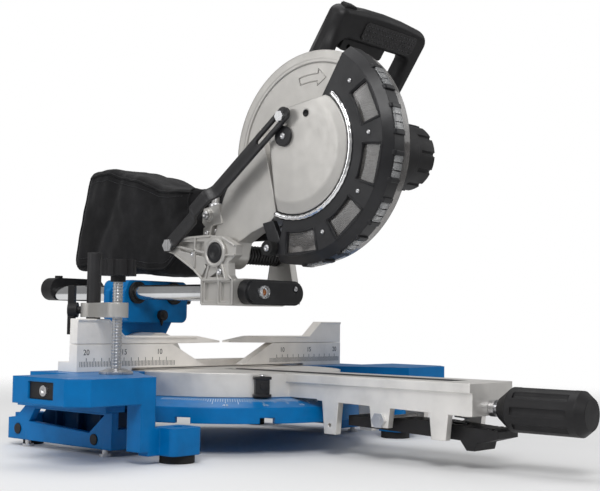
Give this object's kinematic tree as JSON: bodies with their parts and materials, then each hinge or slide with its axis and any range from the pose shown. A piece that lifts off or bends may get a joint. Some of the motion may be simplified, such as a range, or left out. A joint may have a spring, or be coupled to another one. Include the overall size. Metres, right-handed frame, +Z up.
{
  "type": "sliding compound mitre saw",
  "caption": "Bench mitre saw with a sliding, tilting saw head, turntable, fence, work clamp, swinging blade guard and dust bag.",
  "frame": {"origin": "on the mitre axis, at the bench under the feet, in the middle of the bolt pattern", "axes": "+X to the user's right, +Y back from the fence, +Z up; the fence face is y = 0 and the blade turns in x = 0"},
  "size_m": [0.602, 0.756, 0.4868],
  "materials": {
    "blue_cast": "satin blue paint on cast aluminium",
    "silver_cast": "satin silver-grey paint on cast aluminium",
    "bare_alloy": "machined",
    "black_plastic": "fine texture",
    "soft_black": "matt",
    "black_steel": "satin black",
    "steel": "zinc plated",
    "rail_steel": "ground and polished",
    "blade_steel": "brushed",
    "clear_plastic": "clear moulding",
    "bag_cloth": "woven"
  },
  "bodies": {
    "base": {"base_casting": "blue_cast", "side_frame_left": "blue_cast", "side_frame_right": "blue_cast", "rubber_feet": "soft_black", "levelling_feet": "steel", "frame_plugs": "black_plastic", "socket_inserts": "black_plastic", "socket_screws": "steel", "fence": "bare_alloy", "pivot_bolt": "steel"},
    "upper_fence_left": {"upper_fence_left": "bare_alloy"},
    "upper_fence_right": {"upper_fence_right": "bare_alloy"},
    "fence_knob_left": {"fence_knob_left": "black_plastic"},
    "fence_knob_right": {"fence_knob_right": "black_plastic"},
    "clamp_post": {"clamp_post": "black_steel"},
    "clamp_arm": {"clamp_arm": "silver_cast"},
    "clamp_screw": {"clamp_screw": "steel", "clamp_knob": "black_plastic", "clamp_pad": "soft_black"},
    "clamp_lever": {"clamp_lever": "black_plastic"},
    "turntable": {"turntable": "bare_alloy", "kerf_insert": "black_plastic", "mitre_pointer": "black_plastic", "lever_bolt": "steel", "bevel_bolt": "steel", "detent_spring": "steel"},
    "mitre_handle": {"mitre_rod": "steel", "mitre_handle": "black_plastic"},
    "detent_lever": {"detent_lever": "black_plastic"},
    "bevel_lever": {"bevel_lever": "black_plastic"},
    "tilt": {"tilt_arm": "blue_cast", "rail_bushes": "black_plastic", "bevel_pointer": "black_plastic"},
    "slide_lock": {"slide_lock_knob": "black_plastic"},
    "carriage": {"slide_rails": "rail_steel", "rear_end_cap": "black_plastic", "front_cover": "black_plastic", "laser_module": "steel", "carrier": "silver_cast", "pivot_shaft": "steel", "torsion_spring": "steel"},
    "link": {"link_bar": "black_steel", "link_bolts": "steel"},
    "head": {"upper_guard": "silver_cast", "gear_housing": "black_plastic", "motor_housing": "black_plastic", "motor_end_cap": "black_plastic", "handle_shell": "black_plastic", "grip_panel": "soft_black", "dust_port": "black_plastic", "dust_bag": "bag_cloth", "bumper": "soft_black", "guard_pivot": "black_plastic"},
    "blade": {"blade": "blade_steel", "arbor": "steel"},
    "trigger": {"trigger": "black_plastic"},
    "lock_button": {"lock_button": "black_plastic"},
    "lower_guard": {"guard_ring": "black_plastic", "guard_windows": "clear_plastic", "guard_plate": "silver_cast"}
  },
  "joints": [
    {"name": "mitre", "type": "hinge", "parent": "base", "child": "turntable", "pos_m": [0, 0, 0.057], "axis": [0, 0, 1], "range_deg": [-45, 45]},
    {"name": "bevel", "type": "hinge", "parent": "turntable", "child": "tilt", "pos_m": [0, 0.148, 0.082], "axis": [0, 1, 0], "range_deg": [-45, 0]},
    {"name": "bevel_lever", "type": "hinge", "parent": "turntable", "child": "bevel_lever", "pos_m": [0, 0.18, 0.082], "axis": [0, -1, 0], "range_deg": [0, 50]},
    {"name": "slide", "type": "slide", "parent": "tilt", "child": "carriage", "axis": [0, -1, 0], "range_m": [-0.115, 0.09]},
    {"name": "slide_lock", "type": "hinge", "parent": "tilt", "child": "slide_lock", "pos_m": [0.064, 0.151, 0.168], "axis": [1, 0, 0], "range_deg": [0, 180]},
    {"name": "chop", "type": "hinge", "parent": "carriage", "child": "head", "pos_m": [0, -0.025, 0.211], "axis": [1, 0, 0], "range_deg": [0, 53.7], "stiffness_Nm_per_rad": 4, "springref_deg": -126.05},
    {"name": "link_pivot", "type": "hinge", "parent": "carriage", "child": "link", "pos_m": [-0.044, 0.047, 0.221], "axis": [1, 0, 0], "range_deg": [0, 38]},
    {"name": "guard", "type": "hinge", "parent": "head", "child": "lower_guard", "pos_m": [-0.034, -0.12, 0.333], "axis": [-1, 0, 0], "range_deg": [0, 97]},
    {"name": "blade_spin", "type": "hinge", "parent": "head", "child": "blade", "pos_m": [0, -0.134, 0.318], "axis": [1, 0, 0], "continuous": true},
    {"name": "trigger", "type": "slide", "parent": "head", "child": "trigger", "axis": [0, -0.5592, 0.829], "range_m": [0, 0.005], "stiffness_N_per_m": 500, "springref_m": -0.002},
    {"name": "lock_button", "type": "slide", "parent": "head", "child": "lock_button", "axis": [0, 0.5592, -0.829], "range_m": [0, 0.003], "stiffness_N_per_m": 500, "springref_m": -0.002},
    {"name": "detent", "type": "hinge", "parent": "turntable", "child": "detent_lever", "pos_m": [0, -0.247, 0.041], "axis": [1, 0, 0], "range_deg": [0, 6], "stiffness_Nm_per_rad": 6, "springref_deg": -8.59, "deforming": ["detent_spring"]},
    {"name": "mitre_handle", "type": "hinge", "parent": "turntable", "child": "mitre_handle", "pos_m": [0, -0.353, 0.058], "axis": [0, -1, 0], "range_deg": [0, 180]},
    {"name": "upper_fence_left", "type": "slide", "parent": "base", "child": "upper_fence_left", "axis": [-1, 0, 0], "range_m": [0, 0.07]},
    {"name": "upper_fence_right", "type": "slide", "parent": "base", "child": "upper_fence_right", "axis": [-1, 0, 0], "range_m": [-0.07, 0]},
    {"name": "fence_knob_left", "type": "hinge", "parent": "base", "child": "fence_knob_left", "pos_m": [-0.185, 0.012, 0.102], "axis": [0, 1, 0], "range_deg": [0, 180]},
    {"name": "fence_knob_right", "type": "hinge", "parent": "base", "child": "fence_knob_right", "pos_m": [0.185, 0.012, 0.102], "axis": [0, 1, 0], "range_deg": [0, 180]},
    {"name": "clamp_post", "type": "slide", "parent": "base", "child": "clamp_post", "axis": [0, 0, 1], "range_m": [-0.05, 0]},
    {"name": "clamp_arm", "type": "slide", "parent": "base", "child": "clamp_arm", "axis": [0, 0, 1], "range_m": [0, 0.045]},
    {"name": "clamp_screw", "type": "slide", "parent": "clamp_arm", "child": "clamp_screw", "axis": [0, 0, 1], "range_m": [0, 0.035]},
    {"name": "clamp_lever", "type": "hinge", "parent": "clamp_arm", "child": "clamp_lever", "pos_m": [-0.163, 0.036, 0.145], "axis": [-0.6428, 0.766, 0], "range_deg": [0, 180]}
  ],
  "couplings": [
    {"joint": "link_pivot", "follows": "chop", "ratio": 0.699},
    {"joint": "guard", "follows": "chop", "ratio": 1.798}
  ]
}
